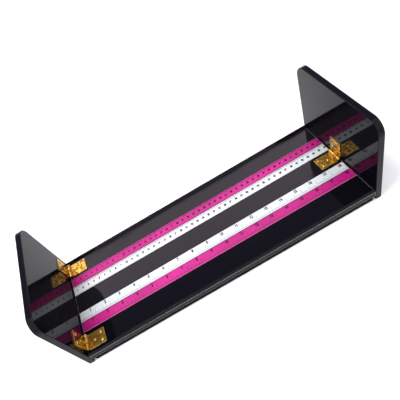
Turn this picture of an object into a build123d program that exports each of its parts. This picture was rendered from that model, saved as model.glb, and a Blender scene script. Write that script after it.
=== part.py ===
from build123d import *
import os

# Folding ruler tray: a black acrylic base carrying two parallel 18 inch rulers, with an
# upright end panel at each end that folds inward over the rulers on brass butt hinges.
# Frame: +X along the rulers, +Y to the rear, +Z up, origin under the middle, on the table.

# ---- driving dimensions (mm) ----
ruler_length = 458.0
ruler_thickness = 1.5
scale_width = 16.5         # pale graduated strip
color_width = 17.2         # coloured strip beside it
strip_seam = 0.2           # open seam between the two strips
ruler_chamfer = 0.3
ruler_end_margin = 1.5     # bare deck beyond each end of the rulers

base_thickness = 9.0
foot_height = 9.0          # foot strips lift the base board off the table
foot_width = 10.0
foot_inset = 1.5           # foot strip behind the board's long edge
foot_end_inset = 2.0
rail_width = 4.5           # raised rail along each long edge
rail_height = 3.5
rail_lip = 0.5             # upright face left under the bevel on a rail's front edge
rail_bevel = 2.4
rail_chamfer = 0.4

panel_thickness = 9.0
panel_rise = 120.5         # panel top above the deck
panel_table_gap = 1.0      # panel's lower edge above the table
panel_side_gap = 0.4       # panel face to the end of the base board, closed by the stop
panel_corner_radius = 19.5 # both top corners
sheet_chamfer = 0.5        # polished arris on every acrylic sheet

screw_head_radius = 2.4
screw_head_height = 1.2
screw_shank_radius = 1.1
screw_length = 7.5         # under the head
screw_clearance = 0.05     # radial, shank in its hole

hinge_length = 24.0        # along the pin
leaf_thickness = 1.6
leaf_reach = 32.5          # leaf's free edge from the inner corner
leaf_chamfer = 0.3
closing_gap = 0.9          # between facing screw heads when a panel is folded flat
knuckle_gap = 0.3          # axial gap between neighbouring knuckles
knuckle_relief = 0.35      # notch clearance round the other leaf's knuckle
pin_radius = 1.2
pin_clearance = 0.05       # radial running fit of the pin
pin_head_radius = 1.9
pin_head_height = 0.8
inner_screw_margin = 9.0   # single screw from the edge of the knuckle
outer_screw_margin = 6.0   # pair of screws from the leaf's free edge
side_screw_margin = 5.5    # pair of screws from the leaf's ends

front_hinge_to_rail = 4.0  # clear deck beside each hinge
front_hinge_to_ruler = 7.0
middle_hinge_margin = 5.15
rear_hinge_margin = 3.95

# ---- derived sizes ----
base_length = ruler_length + 2 * ruler_end_margin
ruler_width = scale_width + strip_seam + color_width
front_margin = rail_width + front_hinge_to_rail + hinge_length + front_hinge_to_ruler
ruler_gap = hinge_length + 2 * middle_hinge_margin
rear_margin = hinge_length + 2 * rear_hinge_margin + rail_width
base_depth = front_margin + ruler_width + ruler_gap + ruler_width + rear_margin
knuckle_radius = leaf_thickness + screw_head_height + closing_gap / 2
inner_screw = 2 * knuckle_radius + inner_screw_margin
outer_screw = leaf_reach - outer_screw_margin
outer_screw_spread = hinge_length / 2 - side_screw_margin

# ---- derived places ----
deck_z = foot_height + base_thickness
front_y = -base_depth / 2
rear_y = base_depth / 2
panel_face_x = base_length / 2 + panel_side_gap
pin_x = panel_face_x - knuckle_radius
pin_z = deck_z + knuckle_radius
inch_front_y = front_y + front_margin
metric_front_y = inch_front_y + ruler_width + ruler_gap
metric_rear_y = metric_front_y + ruler_width

front_hinge_y = inch_front_y - front_hinge_to_ruler - hinge_length / 2
middle_hinge_y = metric_front_y - ruler_gap / 2
rear_hinge_y = metric_rear_y + rear_hinge_margin + hinge_length / 2
left_hinges = {"left_front": front_hinge_y, "left_rear": rear_hinge_y}
right_hinges = {"right_middle": middle_hinge_y}

LOW = (Align.CENTER, Align.CENTER, Align.MIN)


def slab(x0, x1, y0, y1, z0, z1):
    """A box between two corners."""
    size = (x1 - x0, y1 - y0, z1 - z0)
    return Pos((x0 + x1) / 2, (y0 + y1) / 2, z0) * Box(*size, align=LOW)


def screw_places(hinge_y):
    """(distance from the inner corner, y) of a leaf's three screws."""
    return [
        (inner_screw, hinge_y),
        (outer_screw, hinge_y - outer_screw_spread),
        (outer_screw, hinge_y + outer_screw_spread),
    ]


def deck_screw_frames(side, hinge_y):
    """Locations on the deck, local Z up, for the screws of one hinge."""
    return [Pos(side * (panel_face_x - reach), y, deck_z) for reach, y in screw_places(hinge_y)]


def panel_screw_frames(side, hinge_y):
    """Locations on a panel's inner face, local Z into the tray."""
    tilt = Rot(0, -90 * side, 0)
    return [Pos(side * panel_face_x, y, deck_z + reach) * tilt for reach, y in screw_places(hinge_y)]


def bore(frame):
    """Clearance hole for one screw shank, through a leaf and into the sheet behind it."""
    depth = screw_length - leaf_thickness + screw_clearance
    tool = Cylinder(screw_shank_radius + screw_clearance, depth + 2 * leaf_thickness, align=LOW)
    return frame * Pos(0, 0, -depth) * tool


def screw_group(frames):
    """Domed round-head screws, one solid each, seated on the leaf."""
    shank = Cylinder(screw_shank_radius, screw_length, align=LOW)
    cap_radius = (screw_head_radius**2 + screw_head_height**2) / (2 * screw_head_height)
    cap = Pos(0, 0, screw_length + screw_head_height - cap_radius) * Sphere(cap_radius)
    head = cap & Pos(0, 0, screw_length) * Cylinder(screw_head_radius, screw_head_height, align=LOW)
    screw = shank + head
    drop = screw_length - leaf_thickness
    return Compound(children=[frame * Pos(0, 0, -drop) * screw for frame in frames])


def base_board():
    board = slab(-base_length / 2, base_length / 2, front_y, rear_y, foot_height, deck_z)
    board = chamfer(board.edges(), sheet_chamfer)
    for side, hinges in ((-1, left_hinges), (1, right_hinges)):
        for hinge_y in hinges.values():
            for frame in deck_screw_frames(side, hinge_y):
                board -= bore(frame)
    return board


def rail(front_edge):
    """A raised strip bonded on the deck along one long edge, bevelled on its front."""
    top_z = deck_z + rail_height
    back_edge = front_edge + rail_width
    outline = Polyline(
        (front_edge, deck_z),
        (front_edge, deck_z + rail_lip),
        (front_edge + rail_bevel, top_z),
        (back_edge, top_z),
        (back_edge, deck_z),
        close=True,
    )
    strip = extrude(Plane.YZ * make_face(outline), amount=base_length / 2, both=True)
    back_top = strip.edges().filter_by(Axis.X).sort_by(lambda edge: edge.center().Y + edge.center().Z)[-1]
    return chamfer(back_top, rail_chamfer)


def foot_strip(edge_y, inward):
    """A rubber strip under one long edge."""
    near = edge_y + inward * foot_inset
    y0, y1 = sorted((near, near + inward * foot_width))
    half = base_length / 2 - foot_end_inset
    strip = slab(-half, half, y0, y1, 0, foot_height)
    return fillet(strip.edges().filter_by(Axis.Z), foot_width / 4)


def ruler_strip(y0, width):
    """One flat strip of a ruler, bonded on the deck."""
    half = ruler_length / 2
    strip = slab(-half, half, y0, y0 + width, deck_z, deck_z + ruler_thickness)
    top = strip.faces().sort_by(Axis.Z)[-1]
    return chamfer(top.edges(), ruler_chamfer)


def end_panel(side, hinges):
    """An upright sheet with round top corners."""
    bottom = panel_table_gap
    top = deck_z + panel_rise
    with BuildPart() as panel:
        with BuildSketch(Plane.YZ) as outline:
            with Locations((0, (bottom + top) / 2)):
                Rectangle(base_depth, top - bottom)
            # the sketch's own Y runs up the row's Z
            fillet(outline.vertices().group_by(Axis.Y)[-1], panel_corner_radius)
        extrude(amount=panel_thickness)
        faces = panel.faces().filter_by(GeomType.PLANE).sort_by(Axis.X)
        chamfer(faces[0].edges() + faces[-1].edges(), sheet_chamfer)
    inner_x = panel_face_x if side > 0 else -panel_face_x - panel_thickness
    sheet = Pos(inner_x, 0, 0) * panel.part
    for hinge_y in hinges.values():
        for frame in panel_screw_frames(side, hinge_y):
            sheet -= bore(frame)
    return sheet


def knuckle_spans():
    """(start, end) along the pin of the three knuckles, from the hinge's middle."""
    span = hinge_length / 3
    half_gap = knuckle_gap / 2
    return [
        (-1.5 * span, -0.5 * span - half_gap),
        (-0.5 * span + half_gap, 0.5 * span - half_gap),
        (0.5 * span + half_gap, 1.5 * span),
    ]


def tube_along_y(radius, start, end):
    return Pos(0, start, 0) * Rot(-90, 0, 0) * Cylinder(radius, end - start, align=LOW)


def flat_leaf(own, other):
    """A leaf lying flat: pin on the Y axis at the origin, plate running to +X below it.

    own and other are the knuckle spans of this leaf and of the one it meshes with.
    """
    plate_end = leaf_reach - knuckle_radius
    half = hinge_length / 2
    plate = slab(0, plate_end, -half, half, -knuckle_radius, leaf_thickness - knuckle_radius)
    corners = plate.edges().filter_by(Axis.Z).sort_by(Axis.X)[-2:]
    plate = fillet(corners, leaf_thickness)
    rim = plate.faces().sort_by(Axis.Z)[-1].edges().sort_by(Axis.X)[-3:]
    plate = chamfer(rim, leaf_chamfer)
    leaf = plate
    for start, end in own:
        leaf += tube_along_y(knuckle_radius, start, end)
    for start, end in other:
        leaf -= tube_along_y(knuckle_radius + knuckle_relief, start - knuckle_gap, end + knuckle_gap)
    return leaf - tube_along_y(pin_radius + pin_clearance, -hinge_length, hinge_length)


def base_leaf(side, hinge_y):
    """The leaf on the deck, with the two outer knuckles."""
    first, middle, last = knuckle_spans()
    leaf = flat_leaf([first, last], [middle])
    turn = Rot(0, 0, 180) if side > 0 else Rot(0, 0, 0)
    leaf = Pos(side * pin_x, hinge_y, pin_z) * turn * leaf
    for frame in deck_screw_frames(side, hinge_y):
        leaf -= bore(frame)
    return leaf


def panel_leaf(side, hinge_y):
    """The leaf on the panel's inner face, with the middle knuckle."""
    first, middle, last = knuckle_spans()
    leaf = flat_leaf([middle], [first, last])
    leaf = Rot(0, -90, 0) * Rot(180, 0, 0) * leaf
    if side > 0:
        leaf = Rot(0, 0, 180) * leaf
    leaf = Pos(side * pin_x, hinge_y, pin_z) * leaf
    for frame in panel_screw_frames(side, hinge_y):
        leaf -= bore(frame)
    return leaf


def hinge_pin(side, hinge_y):
    """A plain pin with a low head over each outer knuckle."""
    half = hinge_length / 2
    pin = tube_along_y(pin_radius, -half, half)
    pin += tube_along_y(pin_head_radius, half, half + pin_head_height)
    pin += tube_along_y(pin_head_radius, -half - pin_head_height, -half)
    return Pos(side * pin_x, hinge_y, pin_z) * pin


def build():
    parts = {
        "base_board": base_board(),
        "front_rail": rail(front_y),
        "rear_rail": rail(rear_y - rail_width),
        "front_foot_strip": foot_strip(front_y, 1),
        "rear_foot_strip": foot_strip(rear_y, -1),
        "inch_ruler_color_strip": ruler_strip(inch_front_y, color_width),
        "inch_ruler_scale_strip": ruler_strip(inch_front_y + color_width + strip_seam, scale_width),
        "metric_ruler_scale_strip": ruler_strip(metric_front_y, scale_width),
        "metric_ruler_color_strip": ruler_strip(metric_front_y + scale_width + strip_seam, color_width),
        "left_end_panel": end_panel(-1, left_hinges),
        "right_end_panel": end_panel(1, right_hinges),
    }
    for side, hinges in ((-1, left_hinges), (1, right_hinges)):
        for name, hinge_y in hinges.items():
            parts[f"{name}_hinge_base_leaf"] = base_leaf(side, hinge_y)
            parts[f"{name}_hinge_panel_leaf"] = panel_leaf(side, hinge_y)
            parts[f"{name}_hinge_pin"] = hinge_pin(side, hinge_y)
            parts[f"{name}_hinge_base_screws"] = screw_group(deck_screw_frames(side, hinge_y))
            parts[f"{name}_hinge_panel_screws"] = screw_group(panel_screw_frames(side, hinge_y))
    return parts


os.makedirs("parts", exist_ok=True)
for node, shape in build().items():
    export_step(shape, f"parts/{node}.step")
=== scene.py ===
"""Looks of a folding ruler tray: two-tone rulers on a gloss black base between hinged end panels.

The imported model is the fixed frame. This script dresses its parts and adds what the drawing leaves
out: the printed scales on the rulers and the screws with their cross recesses.
"""

from __future__ import annotations

import logging
import math
from dataclasses import dataclass, field
from enum import Enum
from typing import Any, Callable

import bmesh
import bpy
from mathutils import Matrix, Vector


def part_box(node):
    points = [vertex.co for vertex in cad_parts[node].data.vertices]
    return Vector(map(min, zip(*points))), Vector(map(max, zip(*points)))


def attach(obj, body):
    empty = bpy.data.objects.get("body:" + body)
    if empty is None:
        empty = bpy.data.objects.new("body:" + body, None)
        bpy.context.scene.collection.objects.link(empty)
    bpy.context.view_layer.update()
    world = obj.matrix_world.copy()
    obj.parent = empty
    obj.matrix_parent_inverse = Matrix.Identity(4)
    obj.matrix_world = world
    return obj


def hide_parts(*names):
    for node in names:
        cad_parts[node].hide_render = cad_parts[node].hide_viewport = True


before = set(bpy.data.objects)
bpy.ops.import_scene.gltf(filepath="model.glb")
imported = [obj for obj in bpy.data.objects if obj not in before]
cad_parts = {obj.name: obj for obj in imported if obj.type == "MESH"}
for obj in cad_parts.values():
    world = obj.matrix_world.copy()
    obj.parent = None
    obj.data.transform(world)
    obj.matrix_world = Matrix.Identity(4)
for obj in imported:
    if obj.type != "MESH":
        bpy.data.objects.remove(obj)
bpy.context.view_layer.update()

MM = 0.001
MERGE_DISTANCE = 1e-7                # metres
FACES_DOWN = -0.9                    # a face's normal Z under this points down
BEVEL_SAMPLES = 12
EDGE_BAND_WINDOW = (0.93, 0.995)          # cosine between the rounded and the flat normal, edge to open face
NOISE_WINDOW = (0.3, 0.7)            # the part of 0 to 1 that a noise mostly fills
CAPITAL_SHARE = 0.7                  # capital height of the built-in face, as a share of its size
LOG = logging.getLogger("ruler_tray")

Span = tuple[float, float]


# ---------------------------------------------------------------- small tools


def linear(hex_colour: str) -> tuple[float, float, float, float]:
    """Turns an sRGB hex colour into a linear one.

    Args:
        hex_colour: The colour as "#RRGGBB".

    Returns:
        The linear red, green, blue and an alpha of 1.
    """
    channels = [int(hex_colour[i : i + 2], 16) / 255 for i in (1, 3, 5)]
    lin = [c / 12.92 if c <= 0.04045 else ((c + 0.055) / 1.055) ** 2.4 for c in channels]
    return (lin[0], lin[1], lin[2], 1.0)


def per_mm(size: float) -> float:
    """Gives the texture scale for features that many millimetres apart on Object coordinates."""
    return 1.0 / (size * MM)


def add_node(
    tree: bpy.types.NodeTree,
    kind: str,
    settings: dict[str, Any] | None = None,
    links: dict[Any, bpy.types.NodeSocket] | None = None,
) -> bpy.types.Node:
    """Adds a node, sets it up and links it.

    Args:
        tree: The node tree that gets the node.
        kind: The node's type name.
        settings: Attribute or input names (or input numbers) and their values.
        links: Input names (or numbers) and the sockets that feed them.

    Returns:
        The new node.
    """
    node = tree.nodes.new(kind)
    for key, value in (settings or {}).items():
        if isinstance(key, str) and hasattr(node, key):
            setattr(node, key, value)
        else:
            node.inputs[key].default_value = value
    for key, socket in (links or {}).items():
        tree.links.new(socket, node.inputs[key])
    return node


def new_material(name: str) -> tuple[bpy.types.Material, bpy.types.NodeTree, bpy.types.Node]:
    """Makes an empty node material.

    Args:
        name: The material's name.

    Returns:
        The material, its tree and its output node.
    """
    material = bpy.data.materials.new(name)
    material.use_nodes = True
    tree = material.node_tree
    tree.nodes.clear()
    output = add_node(tree, "ShaderNodeOutputMaterial")
    return material, tree, output


def object_coordinates(
    tree: bpy.types.NodeTree, stretch: Vector | None = None
) -> bpy.types.NodeSocket:
    """Gives Object coordinates, squeezed by a Mapping node where a pattern runs along the piece.

    Args:
        tree: The node tree.
        stretch: The factor on each axis, or None for plain coordinates.

    Returns:
        The vector socket.
    """
    socket = add_node(tree, "ShaderNodeTexCoord").outputs["Object"]
    if stretch is None:
        return socket
    mapping = add_node(tree, "ShaderNodeMapping", {"Scale": stretch}, {"Vector": socket})
    return mapping.outputs["Vector"]


def noise(
    tree: bpy.types.NodeTree, vector: bpy.types.NodeSocket, size: float, detail: float
) -> bpy.types.NodeSocket:
    """Adds a noise whose blotches are size millimetres across.

    Args:
        tree: The node tree.
        vector: The coordinates.
        size: The blotch size in millimetres, before any stretch.
        detail: The number of finer layers.

    Returns:
        The factor socket.
    """
    settings = {"Scale": per_mm(size), "Detail": detail}
    return add_node(tree, "ShaderNodeTexNoise", settings, {"Vector": vector}).outputs["Fac"]


def spread(
    tree: bpy.types.NodeTree, socket: bpy.types.NodeSocket, window: Span, result: Span = (0.0, 1.0)
) -> bpy.types.NodeSocket:
    """Maps a window of a socket's values to a result, with the ends held.

    Args:
        tree: The node tree.
        socket: The value to map.
        window: The two values of the socket that are mapped.
        result: What the two become.

    Returns:
        The mapped socket.
    """
    limits = {
        "From Min": window[0],
        "From Max": window[1],
        "To Min": result[0],
        "To Max": result[1],
    }
    return add_node(tree, "ShaderNodeMapRange", limits, {"Value": socket}).outputs["Result"]


def vary(
    tree: bpy.types.NodeTree, socket: bpy.types.NodeSocket, middle: float, swing: Span
) -> bpy.types.NodeSocket:
    """Lets a value swing about its middle with a noise.

    Args:
        tree: The node tree.
        socket: The noise.
        middle: The value without any swing.
        swing: What is added at the low and at the high end of the noise.

    Returns:
        The value's socket.
    """
    return spread(tree, socket, NOISE_WINDOW, (middle + swing[0], middle + swing[1]))


def blend_colours(
    tree: bpy.types.NodeTree, factor: bpy.types.NodeSocket, first: Any, second: Any
) -> bpy.types.NodeSocket:
    """Mixes two colours, each a hex colour or a socket.

    Args:
        tree: The node tree.
        factor: 0 for the first colour and 1 for the second.
        first: A hex colour or a colour socket.
        second: A hex colour or a colour socket.

    Returns:
        The mixed colour socket.
    """
    node = add_node(tree, "ShaderNodeMix", {"data_type": "RGBA"}, {"Factor": factor})
    for name, colour in (("A", first), ("B", second)):
        socket = next(s for s in node.inputs if s.name == name and s.type == "RGBA")
        if isinstance(colour, str):
            socket.default_value = linear(colour)
        else:
            tree.links.new(colour, socket)
    return next(s for s in node.outputs if s.type == "RGBA")


def add_up(tree: bpy.types.NodeTree, *sockets: bpy.types.NodeSocket) -> bpy.types.NodeSocket:
    """Adds sockets together.

    Args:
        tree: The node tree.
        *sockets: Two or more value sockets.

    Returns:
        The sum's socket.
    """
    total = sockets[0]
    for socket in sockets[1:]:
        node = add_node(tree, "ShaderNodeMath", {"operation": "ADD"}, {0: total, 1: socket})
        total = node.outputs[0]
    return total


def dot_product(
    tree: bpy.types.NodeTree, settings: dict[Any, Any], links: dict[Any, bpy.types.NodeSocket]
) -> bpy.types.NodeSocket:
    """Gives the cosine between two directions.

    Args:
        tree: The node tree.
        settings: The directions that are constants, by input number.
        links: The directions that are sockets, by input number.

    Returns:
        The cosine's socket.
    """
    settings = {"operation": "DOT_PRODUCT"} | settings
    return add_node(tree, "ShaderNodeVectorMath", settings, links).outputs["Value"]


def edge_normal(tree: bpy.types.NodeTree, radius: float) -> bpy.types.NodeSocket:
    """Gives the normal of a surface whose edges are rounded to a radius in millimetres."""
    settings = {"samples": BEVEL_SAMPLES, "Radius": radius * MM}
    return add_node(tree, "ShaderNodeBevel", settings).outputs["Normal"]


def edge_mask(tree: bpy.types.NodeTree, radius: float) -> bpy.types.NodeSocket:
    """Gives 1 along sharp edges and 0 on open faces: the band where handling wears a finish first,
    and where painted highlight lines are laid.

    Args:
        tree: The node tree.
        radius: The width of the edge band in millimetres, worn or painted as a highlight.

    Returns:
        The mask's socket.
    """
    rounded = edge_normal(tree, radius)
    flat = add_node(tree, "ShaderNodeNewGeometry").outputs["Normal"]
    return spread(tree, dot_product(tree, {}, {0: rounded, 1: flat}), EDGE_BAND_WINDOW, (1.0, 0.0))


def relief(
    tree: bpy.types.NodeTree,
    height: bpy.types.NodeSocket,
    strength: float,
    depth: float,
    normal: bpy.types.NodeSocket | None = None,
) -> bpy.types.NodeSocket:
    """Turns a height into a normal, for relief too fine to model.

    Args:
        tree: The node tree.
        height: The height.
        strength: How much of the relief shows.
        depth: The relief's depth in millimetres.
        normal: The normal that the relief starts from, or None for the surface's own.

    Returns:
        The normal's socket.
    """
    links = {"Height": height}
    if normal is not None:
        links["Normal"] = normal
    settings = {"Strength": strength, "Distance": depth * MM}
    return add_node(tree, "ShaderNodeBump", settings, links).outputs["Normal"]


def coat(
    tree: bpy.types.NodeTree,
    output: bpy.types.Node,
    settings: dict[str, float],
    links: dict[str, bpy.types.NodeSocket],
) -> None:
    """Ends a material in one Principled shader.

    Args:
        tree: The node tree.
        output: The material's output node.
        settings: The shader inputs that are constants.
        links: The shader inputs that are fed by sockets.
    """
    shader = add_node(tree, "ShaderNodeBsdfPrincipled", settings, links)
    tree.links.new(shader.outputs[0], output.inputs["Surface"])


# ---------------------------------------------------------------- finishes


@dataclass(frozen=True)
class GlossAcrylic:
    """Cast acrylic sheet, black in the mass, faces as cast and edges flame polished.

    A near mirror with the weak reflection of a plastic, a violet cast in the black, and the
    haze, hairlines and dust that such a sheet gathers on a desk. The index of refraction is set
    under that of the real plastic, which would mirror the floor too strongly here.
    """

    name: str = "gloss_black_cast_acrylic"
    colour: str = "#09080D"
    dust_colour: str = "#4A4850"
    # painted highlight: the near-white colour laid along the edges
    arris_colour: str = "#D6D4DC"
    arris_width: float = 0.0          # mm, edge band left matt and painted near white as highlight lines, or 0 where it is flame polished
    arris_roughness: float = 0.45
    ior: float = 1.25
    specular: float = 0.43
    roughness: float = 0.03
    grain_size: float = 0.4           # mm
    grain_window: Span = (0.2, 0.8)
    grain_roughness: float = 0.015
    haze_size: float = 45.0           # mm, finger-wipe marks
    haze_window: Span = (0.45, 0.75)
    haze_roughness: float = 0.05
    hairline_gap: float = 1.6         # mm, drawn coarser than the real ones so that they show
    hairline_stretch: float = 0.03
    hairline_window: Span = (0.62, 0.72)
    hairline_roughness: float = 0.05
    dust_gap: float = 11.0            # mm between specks
    dust_window: Span = (0.018, 0.03)  # a speck's solid radius and its rim, as shares of the gap
    dust_strength: float = 0.6        # both its share of the colour and the roughness it adds
    wave_size: float = 70.0           # mm, the cast sheet's slow waves
    wave_strength: float = 0.25
    wave_depth: float = 0.6           # mm
    edge_round: float = 0.5           # mm, the melted or scraped round on every edge

    def make(self) -> bpy.types.Material:
        """Builds the material.

        Returns:
            The material.
        """
        material, tree, output = new_material(self.name)
        plain = object_coordinates(tree)
        drawn = object_coordinates(tree, Vector((self.hairline_stretch, 1.0, 1.0)))
        haze = noise(tree, plain, self.haze_size, detail=4.0)
        hairlines = noise(tree, drawn, self.hairline_gap, detail=2.0)
        grain = noise(tree, plain, self.grain_size, detail=2.0)
        speck_scale = {"Scale": per_mm(self.dust_gap)}
        specks = add_node(tree, "ShaderNodeTexVoronoi", speck_scale, {"Vector": plain})
        dust = spread(tree, specks.outputs["Distance"], self.dust_window, (self.dust_strength, 0.0))
        grain_result = (self.roughness, self.roughness + self.grain_roughness)
        rough = add_up(
            tree,
            spread(tree, grain, self.grain_window, grain_result),
            spread(tree, haze, self.haze_window, (0.0, self.haze_roughness)),
            spread(tree, hairlines, self.hairline_window, (0.0, self.hairline_roughness)),
            dust,
        )
        colour = blend_colours(tree, dust, self.colour, self.dust_colour)
        # Where arris_width is set, the edge band is painted near white as highlight lines and made
        # matt.
        if self.arris_width:
            highlight_arris = edge_mask(tree, self.arris_width)
            colour = blend_colours(tree, highlight_arris, colour, self.arris_colour)
            matt = spread(tree, highlight_arris, (0.0, 1.0), (0.0, self.arris_roughness))
            rough = add_up(tree, rough, matt)
        waves = noise(tree, plain, self.wave_size, detail=1.0)
        rounded = edge_normal(tree, self.edge_round)
        normal = relief(tree, waves, self.wave_strength, self.wave_depth, rounded)
        coat(
            tree,
            output,
            {"IOR": self.ior, "Specular IOR Level": self.specular},
            {"Base Color": colour, "Roughness": rough, "Normal": normal},
        )
        return material


@dataclass(frozen=True)
class BrushedAluminium:
    """Aluminium strip, brushed along its length, then clear or colour anodised.

    A soft bright sheen with the colour of the dye in it, and a painted highlight along the long
    edges: a band there is coloured lighter than the body.
    """

    name: str
    colour: str
    deep_colour: str
    edge_colour: str
    roughness: float = 0.34
    rough_swing: Span = (-0.05, 0.09)
    brush_gap: float = 0.5            # mm, drawn coarser than the real grain so that it shows
    brush_stretch: float = 0.012
    brush_window: Span = (0.35, 0.7)
    brush_share: float = 0.22         # of the deep colour, in the brush lines
    brush_strength: float = 0.12
    brush_depth: float = 0.04         # mm
    shade_size: float = 60.0          # mm, slow change in the dye
    shade_window: Span = (0.35, 0.7)
    shade_share: float = 0.75         # of the deep colour, in the slow change
    edge_width: float = 0.7           # mm, the edge band coloured lighter as a painted highlight
    metallic: float = 0.22

    def make(self) -> bpy.types.Material:
        """Builds the material.

        Returns:
            The material.
        """
        material, tree, output = new_material(self.name)
        plain = object_coordinates(tree)
        drawn = object_coordinates(tree, Vector((self.brush_stretch, 1.0, 1.0)))
        brush = noise(tree, drawn, self.brush_gap, detail=3.0)
        slow = noise(tree, plain, self.shade_size, detail=2.0)
        shade = spread(tree, slow, self.shade_window, (0.0, self.shade_share))
        grain = spread(tree, brush, self.brush_window, (0.0, self.brush_share))
        body = blend_colours(tree, shade, self.colour, self.deep_colour)
        body = blend_colours(tree, grain, body, self.deep_colour)
        # painted highlight: the edge band is coloured lighter than the body
        colour = blend_colours(tree, edge_mask(tree, self.edge_width), body, self.edge_colour)
        rough = vary(tree, brush, self.roughness, self.rough_swing)
        normal = relief(tree, brush, self.brush_strength, self.brush_depth)
        coat(
            tree,
            output,
            {"Metallic": self.metallic},
            {"Base Color": colour, "Roughness": rough, "Normal": normal},
        )
        return material


@dataclass(frozen=True)
class PolishedBrass:
    """Brass, stamped and rolled, then buffed and left bare.

    Warm gold with browner tarnish in broad patches, fine buffing lines and brighter metal along
    the edges where it is handled.
    """

    name: str = "buffed_bare_brass"
    colour: str = "#E0B850"
    tarnish_colour: str = "#84551A"
    bright_colour: str = "#FFEDBE"
    roughness: float = 0.23
    rough_swing: Span = (-0.04, 0.05)
    buff_gap: float = 0.45            # mm, drawn coarser than the real lines so that they show
    buff_stretch: float = 0.05
    buff_strength: float = 0.15
    buff_depth: float = 0.05          # mm
    tarnish_size: float = 5.0         # mm
    tarnish_window: Span = (0.40, 0.62)
    tarnish_share: float = 0.9
    dull_window: Span = (0.45, 0.75)
    dull_roughness: float = 0.16
    edge_width: float = 0.35          # mm

    def make(self) -> bpy.types.Material:
        """Builds the material.

        Returns:
            The material.
        """
        material, tree, output = new_material(self.name)
        plain = object_coordinates(tree)
        drawn = object_coordinates(tree, Vector((1.0, self.buff_stretch, 1.0)))
        patches = noise(tree, plain, self.tarnish_size, detail=4.0)
        buff = noise(tree, drawn, self.buff_gap, detail=2.0)
        tarnish = spread(tree, patches, self.tarnish_window, (0.0, self.tarnish_share))
        body = blend_colours(tree, tarnish, self.colour, self.tarnish_colour)
        colour = blend_colours(tree, edge_mask(tree, self.edge_width), body, self.bright_colour)
        rough = add_up(
            tree,
            vary(tree, buff, self.roughness, self.rough_swing),
            spread(tree, patches, self.dull_window, (0.0, self.dull_roughness)),
        )
        normal = relief(tree, buff, self.buff_strength, self.buff_depth)
        coat(
            tree,
            output,
            {"Metallic": 1.0},
            {"Base Color": colour, "Roughness": rough, "Normal": normal},
        )
        return material


@dataclass(frozen=True)
class MouldedRubber:
    """Black rubber strip, moulded, with talc still in its pores: dull, grey at the rubbed edges."""

    name: str = "moulded_black_rubber"
    colour: str = "#050506"
    rubbed_colour: str = "#121213"
    ior: float = 1.2
    roughness: float = 0.8
    rough_swing: Span = (-0.08, 0.1)
    pore_gap: float = 0.8             # mm
    pore_strength: float = 0.4
    pore_depth: float = 0.1           # mm
    talc_size: float = 18.0           # mm
    talc_window: Span = (0.5, 0.75)
    talc_share: float = 0.5
    edge_width: float = 0.8           # mm

    def make(self) -> bpy.types.Material:
        """Builds the material.

        Returns:
            The material.
        """
        material, tree, output = new_material(self.name)
        plain = object_coordinates(tree)
        pores = noise(tree, plain, self.pore_gap, detail=3.0)
        clouds = noise(tree, plain, self.talc_size, detail=3.0)
        talc = spread(tree, clouds, self.talc_window, (0.0, self.talc_share))
        body = blend_colours(tree, talc, self.colour, self.rubbed_colour)
        colour = blend_colours(tree, edge_mask(tree, self.edge_width), body, self.rubbed_colour)
        rough = vary(tree, pores, self.roughness, self.rough_swing)
        normal = relief(tree, pores, self.pore_strength, self.pore_depth)
        coat(
            tree,
            output,
            {"IOR": self.ior},
            {"Base Color": colour, "Roughness": rough, "Normal": normal},
        )
        return material


@dataclass(frozen=True)
class ScreenInk:
    """Screen-printed scale ink: a matt film, patchy where the mesh let less through."""

    name: str
    colour: str
    thin_colour: str
    ior: float = 1.3
    roughness: float = 0.7
    rough_swing: Span = (0.0, 0.15)
    patch_size: float = 2.5           # mm
    thin_window: Span = (0.5, 0.75)
    thin_share: float = 0.6

    def make(self) -> bpy.types.Material:
        """Builds the material.

        Returns:
            The material.
        """
        material, tree, output = new_material(self.name)
        patches = noise(tree, object_coordinates(tree), self.patch_size, detail=3.0)
        thin = spread(tree, patches, self.thin_window, (0.0, self.thin_share))
        colour = blend_colours(tree, thin, self.colour, self.thin_colour)
        rough = vary(tree, patches, self.roughness, self.rough_swing)
        coat(tree, output, {"IOR": self.ior}, {"Base Color": colour, "Roughness": rough})
        return material


@dataclass(frozen=True)
class WhitePaper:
    """Matt white paper, hung as a sweep, with a faint change from fibre to fibre."""

    name: str = "matt_white_paper_sweep"
    colour: str = "#F6F6F6"
    fibre_colour: str = "#F3F3F3"
    roughness: float = 0.9
    fibre_size: float = 3.0           # mm
    fibre_window: Span = (0.4, 0.7)

    def make(self) -> bpy.types.Material:
        """Builds the material.

        Returns:
            The material.
        """
        material, tree, output = new_material(self.name)
        fibres = noise(tree, object_coordinates(tree), self.fibre_size, detail=3.0)
        share = spread(tree, fibres, self.fibre_window)
        colour = blend_colours(tree, share, self.colour, self.fibre_colour)
        coat(tree, output, {"Roughness": self.roughness}, {"Base Color": colour})
        return material


# ---------------------------------------------------------------- workbench


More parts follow.
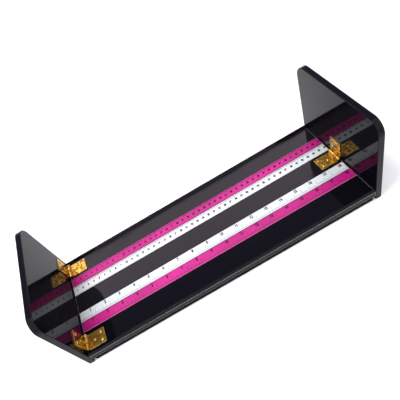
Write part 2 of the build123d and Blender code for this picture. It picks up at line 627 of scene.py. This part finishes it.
class Bench:
    """Modelling by operators, with everything deselected first."""

    @staticmethod
    def clear() -> None:
        """Deselects every object."""
        if bpy.context.object and bpy.context.object.mode != "OBJECT":
            bpy.ops.object.mode_set(mode="OBJECT")
        bpy.ops.object.select_all(action="DESELECT")

    @staticmethod
    def pick(piece: bpy.types.Object) -> None:
        """Makes one object the only selected and active one."""
        Bench.clear()
        piece.select_set(True)
        bpy.context.view_layer.objects.active = piece

    @staticmethod
    def apply_place() -> None:
        """Puts the active object's place, turn and scale into its mesh."""
        bpy.ops.object.transform_apply(location=True, rotation=True, scale=True)

    @staticmethod
    def apply_modifiers(piece: bpy.types.Object) -> None:
        """Applies every modifier of a piece, in order."""
        Bench.pick(piece)
        for modifier in list(piece.modifiers):
            bpy.ops.object.modifier_apply(modifier=modifier.name)

    @staticmethod
    def select_faces(piece: bpy.types.Object, wanted: Callable[[Any], bool]) -> None:
        """Selects the faces for which wanted is true, and leaves the piece in edit mode.

        Args:
            piece: The mesh object.
            wanted: A test on a face.
        """
        Bench.pick(piece)
        bpy.ops.object.mode_set(mode="EDIT")
        bpy.ops.mesh.select_mode(type="FACE")
        bpy.ops.mesh.select_all(action="DESELECT")
        mesh = bmesh.from_edit_mesh(piece.data)
        for face in mesh.faces:
            face.select_set(wanted(face))
        mesh.select_flush(True)
        bmesh.update_edit_mesh(piece.data)

    @staticmethod
    def join(name: str, pieces: list[bpy.types.Object]) -> bpy.types.Object:
        """Joins pieces into the first one.

        Args:
            name: The joined piece's name.
            pieces: The pieces.

        Returns:
            The joined piece.
        """
        Bench.pick(pieces[0])
        for piece in pieces[1:]:
            piece.select_set(True)
        if len(pieces) > 1:
            bpy.ops.object.join()
        joined = bpy.context.object
        joined.name = name
        joined.data.name = name
        return joined

    @staticmethod
    def face_out(piece: bpy.types.Object) -> None:
        """Merges doubled points and turns every face outwards."""
        Bench.pick(piece)
        bpy.ops.object.mode_set(mode="EDIT")
        bpy.ops.mesh.select_all(action="SELECT")
        bpy.ops.mesh.remove_doubles(threshold=MERGE_DISTANCE)
        bpy.ops.mesh.normals_make_consistent(inside=False)
        bpy.ops.object.mode_set(mode="OBJECT")


def dress(piece: bpy.types.Object, material: bpy.types.Material) -> None:
    """Gives a piece one material in every slot."""
    if not piece.material_slots:
        piece.data.materials.append(material)
    for slot in piece.material_slots:
        slot.material = material


# ---------------------------------------------------------------- sub-assemblies


class Unit(Enum):
    """The two scales."""

    INCH = "inch"
    METRIC = "metric"


class Side(Enum):
    """The end of the tray that a hinge is on."""

    LEFT = -1
    RIGHT = 1


@dataclass
class RulerScale:
    """The printed scale on one strip of a ruler: ticks from one long edge and numbers beside them.

    Sizes are in millimetres.
    """

    strip: str
    ink: bpy.types.Material
    number_from_edge: float
    number_height: float
    number_shift: float
    pitch: float
    divisions: tuple[tuple[int, float], ...]
    ticks_at_rear: bool
    lined: bool
    seam_gap: float = 0.75
    seam_width: float = 1.0
    edge_gap: float = 0.7
    zero: float = 0.4
    tick_width: float = 0.42
    boldness: float = 0.42
    squeeze: float = 0.72
    ink_height: float = 0.04
    ink_root: float = 0.04
    left: float = field(init=False)
    length: float = field(init=False)
    width: float = field(init=False)
    edge: float = field(init=False)
    inward: float = field(init=False)
    face: float = field(init=False)

    def __post_init__(self) -> None:
        """Reads the strip's place and size."""
        low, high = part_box(self.strip)
        self.left = low.x / MM
        self.length = (high.x - low.x) / MM
        self.width = (high.y - low.y) / MM
        self.edge = (high.y if self.ticks_at_rear else low.y) / MM
        self.inward = -1.0 if self.ticks_at_rear else 1.0
        self.face = high.z / MM

    def build(self) -> None:
        """Builds the ticks and the numbers."""
        for piece in (self.ticks(), self.numbers()):
            dress(piece, self.ink)
            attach(piece, "base")
            LOG.info("built %s with %d faces", piece.name, len(piece.data.polygons))

    def bar(self, width: float, reach: float, along: float, across: float) -> bpy.types.Object:
        """Models one printed bar, square to the ruler's length or along it.

        Args:
            width: Its size along the ruler.
            reach: Its size across the ruler.
            along: The X of its middle.
            across: The Y of its middle.

        Returns:
            The bar, sunk a little into the strip and standing a little proud of it.
        """
        Bench.clear()
        bpy.ops.mesh.primitive_plane_add(size=1.0, location=(0.0, 0.0, 0.0))
        bar = bpy.context.object
        bar.scale = (width * MM, reach * MM, 1.0)
        bpy.ops.object.transform_apply(location=False, rotation=False, scale=True)
        bpy.ops.object.mode_set(mode="EDIT")
        bpy.ops.mesh.select_all(action="SELECT")
        rise = (self.ink_height + self.ink_root) * MM
        bpy.ops.mesh.extrude_region_move(TRANSFORM_OT_translate={"value": (0.0, 0.0, rise)})
        trim = 2 * self.ink_height
        bpy.ops.transform.resize(value=(1 - trim / width, 1 - trim / reach, 1.0))
        bpy.ops.object.mode_set(mode="OBJECT")
        bar.location = (along * MM, across * MM, (self.face - self.ink_root) * MM)
        Bench.apply_place()
        return bar

    def tick_row(self, step: float, reach: float) -> bpy.types.Object:
        """Models one tick and repeats it along the ruler.

        Args:
            step: The distance between ticks of this row.
            reach: The tick's length.

        Returns:
            The row.
        """
        middle = self.edge + self.inward * (self.edge_gap + reach / 2)
        tick = self.bar(self.tick_width, reach, self.left + self.zero + step, middle)
        array = tick.modifiers.new("repeat", "ARRAY")
        array.use_relative_offset = False
        array.use_constant_offset = True
        array.constant_offset_displace = (step * MM, 0.0, 0.0)
        array.count = int((self.length - self.zero - self.tick_width / 2) / step)
        Bench.apply_modifiers(tick)
        return tick

    def seam_line(self) -> bpy.types.Object:
        """Models a dark line in ink along the edge where the two strips of a ruler meet: painted
        shade in the seam.

        Returns:
            The line.
        """
        seam = self.edge + self.inward * (self.width - self.seam_gap)
        middle = self.left + self.length / 2
        return self.bar(self.length - 2 * self.edge_gap, self.seam_width, middle, seam)

    def ticks(self) -> bpy.types.Object:
        """Builds every row of ticks as one piece.

        Returns:
            The piece.
        """
        rows = [self.tick_row(self.pitch / parts, reach) for parts, reach in self.divisions]
        # The magenta strip also gets the painted shade line along the seam.
        if self.lined:
            rows.append(self.seam_line())
        piece = Bench.join(f"{self.strip}_ticks", rows)
        Bench.face_out(piece)
        return piece

    def number(self, value: int) -> bpy.types.Object:
        """Writes one number as a raised print.

        Args:
            value: The number.

        Returns:
            The mesh.
        """
        Bench.clear()
        bpy.ops.object.text_add(location=(0.0, 0.0, 0.0))
        text = bpy.context.object
        text.data.body = str(value)
        text.data.align_x = "CENTER"
        text.data.align_y = "CENTER"
        text.data.resolution_u = 2
        text.data.size = self.number_height / CAPITAL_SHARE * MM
        text.data.extrude = (self.ink_height + self.ink_root) / 2 * MM
        text.data.offset = self.boldness * MM
        bpy.ops.object.convert(target="MESH")
        text = bpy.context.object
        along = self.left + self.zero + value * self.pitch - self.number_shift
        across = self.edge + self.inward * self.number_from_edge
        depth = self.face + (self.ink_height - self.ink_root) / 2
        text.location = (along * MM, across * MM, depth * MM)
        text.scale = (self.squeeze, 1.0, 1.0)
        Bench.apply_place()
        return text

    def numbers(self) -> bpy.types.Object:
        """Writes every number that fits on the ruler.

        Returns:
            The piece.
        """
        room = self.length - self.zero + self.number_shift - self.number_height / 2
        last = int(room / self.pitch)
        piece = Bench.join(f"{self.strip}_numbers", [self.number(n + 1) for n in range(last)])
        Bench.face_out(piece)
        return piece


@dataclass
class CrossScrews:
    """The three domed screws of one hinge leaf, each with a cross recess.

    Sizes are in millimetres and angles in degrees.
    """

    node: str
    body: str
    side: Side
    upright: bool
    brass: bpy.types.Material
    head_radius: float = 2.4
    head_height: float = 1.2
    shank_radius: float = 1.05
    recess_span: float = 2.2
    recess_width: float = 0.55
    recess_depth: float = 0.75
    shank_length: float = 7.5
    thread_pitch: float = 0.9
    root_share: float = 0.8
    tip_share: float = 0.35
    round_parts: int = 48
    shank_parts: int = 20
    first_turn: float = 25.0
    turn_step: float = 37.0
    smooth_below: float = 35.0

    def build(self) -> None:
        """Models one screw, then copies it to the leaf's three places."""
        low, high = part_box(self.node)
        places = self.places(low, high)
        pattern = self.screw()
        copies = []
        for index, place in enumerate(places):
            Bench.pick(pattern)
            bpy.ops.object.duplicate()
            copy = bpy.context.object
            turn = Matrix.Rotation(math.radians(self.first_turn + self.turn_step * index), 4, "Z")
            lean = Matrix.Rotation(-self.side.value * math.pi / 2 if self.upright else 0.0, 4, "Y")
            copy.data.transform(Matrix.Translation(place) @ lean @ turn)
            copies.append(copy)
        bpy.data.objects.remove(pattern)
        piece = Bench.join(self.node + "_cross_recess", copies)
        Bench.pick(piece)
        bpy.ops.object.shade_smooth_by_angle(angle=math.radians(self.smooth_below))
        dress(piece, self.brass)
        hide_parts(self.node)
        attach(piece, self.body)
        LOG.info("built %s with %d faces", piece.name, len(piece.data.polygons))

    def places(self, low: Vector, high: Vector) -> list[Vector]:
        """Finds the crowns of the three heads from the node's box.

        Args:
            low: The box's lowest corner.
            high: The box's highest corner.

        Returns:
            The three crowns.
        """
        inset = self.head_radius * MM
        middle = (low.y + high.y) / 2
        ends = (low.y + inset, high.y - inset)
        if self.upright:
            crown = low.x if self.side is Side.RIGHT else high.x
            inner, outer = low.z + inset, high.z - inset
            spots = [(crown, middle, inner)] + [(crown, y, outer) for y in ends]
        else:
            near, far = low.x + inset, high.x - inset
            if self.side is Side.RIGHT:
                near, far = far, near
            spots = [(near, middle, high.z)] + [(far, y, high.z) for y in ends]
        return [Vector(spot) for spot in spots]

    def screw(self) -> bpy.types.Object:
        """Models one screw, crown at the origin and shank down -Z.

        Returns:
            The screw.
        """
        radius, height = self.head_radius * MM, self.head_height * MM
        ball = (radius**2 + height**2) / (2 * height)
        Bench.clear()
        parts = self.round_parts
        bpy.ops.mesh.primitive_uv_sphere_add(
            segments=parts, ring_count=parts, radius=ball, location=(0, 0, -ball)
        )
        head = bpy.context.object
        Bench.apply_place()
        bpy.ops.object.mode_set(mode="EDIT")
        bpy.ops.mesh.select_all(action="SELECT")
        bpy.ops.mesh.bisect(
            plane_co=(0, 0, -height),
            plane_no=(0, 0, 1),
            use_fill=True,
            clear_inner=True,
            threshold=MERGE_DISTANCE,
        )
        bpy.ops.object.mode_set(mode="OBJECT")
        tools = []
        for turn in (0.0, math.pi / 2):
            Bench.clear()
            bpy.ops.mesh.primitive_cube_add(size=1.0, location=(0, 0, 0))
            tool = bpy.context.object
            tool.scale = (
                self.recess_span * MM,
                self.recess_width * MM,
                2 * self.recess_depth * MM,
            )
            tool.rotation_euler = (0, 0, turn)
            Bench.apply_place()
            tools.append(tool)
        for tool in tools:
            cut = head.modifiers.new("recess", "BOOLEAN")
            cut.operation = "DIFFERENCE"
            cut.solver = "EXACT"
            cut.object = tool
            Bench.apply_modifiers(head)
        for tool in tools:
            bpy.data.objects.remove(tool)
        return self.with_shank(head)

    def with_shank(self, head: bpy.types.Object) -> bpy.types.Object:
        """Adds the threaded shank under a head.

        Args:
            head: The finished head.

        Returns:
            The whole screw.
        """
        length = self.shank_length * MM
        top = -self.head_height * MM
        turns = int(length / (self.thread_pitch * MM)) - 1
        Bench.clear()
        bpy.ops.mesh.primitive_cylinder_add(
            vertices=self.shank_parts,
            radius=self.shank_radius * MM,
            depth=length,
            location=(0, 0, top - length / 2),
        )
        shank = bpy.context.object
        Bench.apply_place()
        for ring in range(turns):
            Bench.pick(shank)
            bpy.ops.object.mode_set(mode="EDIT")
            bpy.ops.mesh.select_all(action="SELECT")
            level = top - (ring + 1) * self.thread_pitch * MM
            bpy.ops.mesh.bisect(plane_co=(0, 0, level), plane_no=(0, 0, 1))
            bpy.ops.transform.resize(value=(self.root_share, self.root_share, 1.0))
            bpy.ops.object.mode_set(mode="OBJECT")
        Bench.select_faces(shank, lambda face: face.normal.z < FACES_DOWN)
        bpy.ops.transform.resize(value=(self.tip_share, self.tip_share, 1.0))
        bpy.ops.object.mode_set(mode="OBJECT")
        return Bench.join("screw_pattern", [head, shank])


@dataclass
class Tray:
    """The whole tray: which finish each part has, and the pieces added to it."""

    acrylic: bpy.types.Material = field(default_factory=lambda: GlossAcrylic().make())
    scraped: bpy.types.Material = field(
        default_factory=lambda: GlossAcrylic(
            "gloss_black_cast_acrylic_painted_edge_highlights", arris_width=0.7
        ).make()
    )
    brass: bpy.types.Material = field(default_factory=lambda: PolishedBrass().make())
    rubber: bpy.types.Material = field(default_factory=lambda: MouldedRubber().make())

    def dress_sheets(self) -> None:
        """Dresses the acrylic sheets and the rubber strips."""
        for node in ("left_end_panel", "right_end_panel", "front_rail", "rear_rail"):
            dress(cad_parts[node], self.acrylic)
        # The base board carries the painted highlight lines along its edges.
        dress(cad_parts["base_board"], self.scraped)
        for node in ("front_foot_strip", "rear_foot_strip"):
            dress(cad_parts[node], self.rubber)

    def dress_hinges(self) -> None:
        """Dresses the leaves and pins, and builds the screws."""
        for hinge, side, panel in (
            ("left_front", Side.LEFT, "left_panel"),
            ("left_rear", Side.LEFT, "left_panel"),
            ("right_middle", Side.RIGHT, "right_panel"),
        ):
            for part in ("base_leaf", "panel_leaf", "pin"):
                dress(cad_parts[f"{hinge}_hinge_{part}"], self.brass)
            CrossScrews(f"{hinge}_hinge_base_screws", "base", side, False, self.brass).build()
            CrossScrews(f"{hinge}_hinge_panel_screws", panel, side, True, self.brass).build()

    def dress_rulers(self) -> None:
        """Dresses the four strips and prints their scales."""
        # The last colour given to each strip is the painted highlight along its edges.
        pale = BrushedAluminium(
            "clear_anodised_brushed_aluminium", "#D9D6D6", "#C6D4D3", "#FFFFFF"
        ).make()
        dyed = BrushedAluminium(
            "magenta_anodised_brushed_aluminium", "#BE0C7E", "#A20669", "#EE9ACB"
        ).make()
        black_ink = ScreenInk("dark_grey_screen_ink", "#060607", "#141416").make()
        deep_ink = ScreenInk("deep_magenta_screen_ink", "#1C0011", "#34041F").make()
        for unit in Unit:
            for part, metal, ink in (("scale", pale, black_ink), ("color", dyed, deep_ink)):
                strip = f"{unit.value}_ruler_{part}_strip"
                dress(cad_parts[strip], metal)
                self.scale_for(unit, strip, part == "color", ink).build()

    @staticmethod
    def scale_for(unit: Unit, strip: str, coloured: bool, ink: bpy.types.Material) -> RulerScale:
        """Chooses the scale that a strip carries.

        Args:
            unit: Inches or centimetres.
            strip: The strip's node.
            coloured: True on the magenta strip.
            ink: The ink.

        Returns:
            The scale.
        """
        if unit is Unit.INCH:
            return RulerScale(
                strip,
                ink,
                number_from_edge=12.0,
                number_height=5.2,
                number_shift=7.1,
                pitch=25.4,
                divisions=((16, 2.6), (8, 3.8), (4, 5.2), (2, 6.6), (1, 8.6)),
                ticks_at_rear=False,
                lined=coloured,
            )
        return RulerScale(
            strip,
            ink,
            number_from_edge=8.8,
            number_height=3.8,
            number_shift=4.3,
            pitch=10.0,
            divisions=((10, 2.4), (2, 3.6), (1, 5.0)),
            ticks_at_rear=True,
            lined=coloured,
        )

    def build(self) -> None:
        """Dresses and builds everything."""
        self.dress_sheets()
        self.dress_hinges()
        self.dress_rulers()


# ---------------------------------------------------------------- studio


@dataclass
class Studio:
    """A plain pale floor, a room lit from overhead, a long soft light behind and a small one above.

    Sizes are in metres and degrees.
    """

    floor_side: float = 30.0
    room_colour: str = "#A8A2C8"
    room_light: float = 0.95
    pale_wall: Span = (16.0, 26.0)
    wall_light: float = 1.0
    overhead_from: tuple[float, float, float] = (-0.06, -0.50, 0.87)
    overhead_reach: Span = (56.0, 46.0)
    overhead_light: float = 0.6
    key_place: tuple[float, float, float] = (-0.45, -0.15, 1.65)
    key_side: float = 0.4
    key_radiance: float = 30.0
    key_colour: str = "#FFFFFF"
    strip_behind: float = 1.29
    strip_heights: Span = (1.28, 1.87)
    strip_span: Span = (-0.95, 0.85)
    strip_radiance: float = 3.9
    strip_colour: str = "#FFF2FC"
    aim: tuple[float, float, float] = (-0.0132, 0.0164, 0.018)
    distance: float = 0.6092
    elevation: float = 50.588
    azimuth: float = -1.456
    roll: float = -31.238
    lens: float = 35.039
    shift: Span = (0.0133, 0.0721)
    near_clip: float = 0.01

    def floor(self) -> None:
        """Lays the floor."""
        Bench.clear()
        bpy.ops.mesh.primitive_plane_add(size=self.floor_side, location=(0.0, 0.0, 0.0))
        floor = bpy.context.object
        floor.name = "floor"
        floor.data.materials.append(WhitePaper().make())

    def room(self) -> None:
        """Lights the room: pale low down and right overhead, and dim in between."""
        world = bpy.data.worlds.new("room")
        bpy.context.scene.world = world
        world.use_nodes = True
        tree = world.node_tree
        tree.nodes.clear()
        direction = add_node(tree, "ShaderNodeTexCoord").outputs["Generated"]
        height = add_node(tree, "ShaderNodeSeparateXYZ", links={"Vector": direction}).outputs["Z"]
        wall_window = tuple(math.sin(math.radians(a)) for a in self.pale_wall)
        wall = spread(tree, height, wall_window, (1.0, 0.0))
        middle = Vector(self.overhead_from).normalized()
        above_window = tuple(math.cos(math.radians(a)) for a in self.overhead_reach)
        above = spread(tree, dot_product(tree, {1: middle}, {0: direction}), above_window)
        colour = blend_colours(tree, add_up(tree, wall, above), self.room_colour, "#FFFFFF")
        strength = add_up(
            tree,
            spread(tree, wall, (0.0, 1.0), (self.room_light, self.wall_light)),
            spread(tree, above, (0.0, 1.0), (0.0, self.overhead_light)),
        )
        light = add_node(tree, "ShaderNodeBackground", links={"Color": colour, "Strength": strength})
        output = add_node(tree, "ShaderNodeOutputWorld")
        tree.links.new(light.outputs[0], output.inputs["Surface"])

    @staticmethod
    def soft_light(
        name: str, place: Vector, facing: Vector, size: Span, radiance: float, colour: str
    ) -> None:
        """Hangs a rectangular soft light.

        Args:
            name: The light's name.
            place: Its middle.
            facing: The direction that it shines in.
            size: Its width and height.
            radiance: How bright its face is.
            colour: Its hex colour.
        """
        data = bpy.data.lights.new(name, "AREA")
        data.shape = "RECTANGLE"
        data.size, data.size_y = size
        data.energy = radiance * math.pi * size[0] * size[1]
        data.color = linear(colour)[:3]
        light = bpy.data.objects.new(name, data)
        light.location = place
        light.rotation_euler = facing.to_track_quat("-Z", "Y").to_euler()
        bpy.context.scene.collection.objects.link(light)

    def lights(self) -> None:
        """Hangs the long soft light behind and the small one above."""
        low, high = self.strip_heights
        left, right = self.strip_span
        middle = Vector(((left + right) / 2, self.strip_behind, (low + high) / 2))
        self.soft_light(
            "strip_light",
            middle,
            Vector((0, -1, 0)),
            (right - left, high - low),
            self.strip_radiance,
            self.strip_colour,
        )
        key = Vector(self.key_place)
        size = (self.key_side, self.key_side)
        self.soft_light("key_light", key, -key, size, self.key_radiance, self.key_colour)

    def camera(self) -> None:
        """Sets up the camera at its viewing angle."""
        az, el, roll = (math.radians(a) for a in (self.azimuth, self.elevation, self.roll))
        level = math.cos(el)
        forward = Vector((level * math.sin(az), level * math.cos(az), -math.sin(el)))
        right = forward.cross(Vector((0, 0, 1))).normalized()
        up = right.cross(forward)
        x_axis = math.cos(roll) * right + math.sin(roll) * up
        z_axis = -forward
        y_axis = z_axis.cross(x_axis)
        turn = Matrix((x_axis, y_axis, z_axis)).transposed().to_4x4()
        place = Matrix.Translation(Vector(self.aim) - forward * self.distance)
        data = bpy.data.cameras.new("camera")
        data.lens = self.lens
        data.shift_x, data.shift_y = self.shift
        data.clip_start = self.near_clip
        camera = bpy.data.objects.new("camera", data)
        camera.matrix_world = place @ turn
        bpy.context.scene.collection.objects.link(camera)
        bpy.context.scene.camera = camera

    def build(self) -> None:
        """Builds the studio."""
        bpy.context.scene.view_settings.view_transform = "Standard"
        self.floor()
        self.room()
        self.lights()
        self.camera()


def main() -> None:
    """Builds the tray and its studio."""
    logging.basicConfig(level=logging.INFO, format="%(name)s: %(message)s")
    Studio().build()
    Tray().build()


if __name__ == "__main__":
    main()
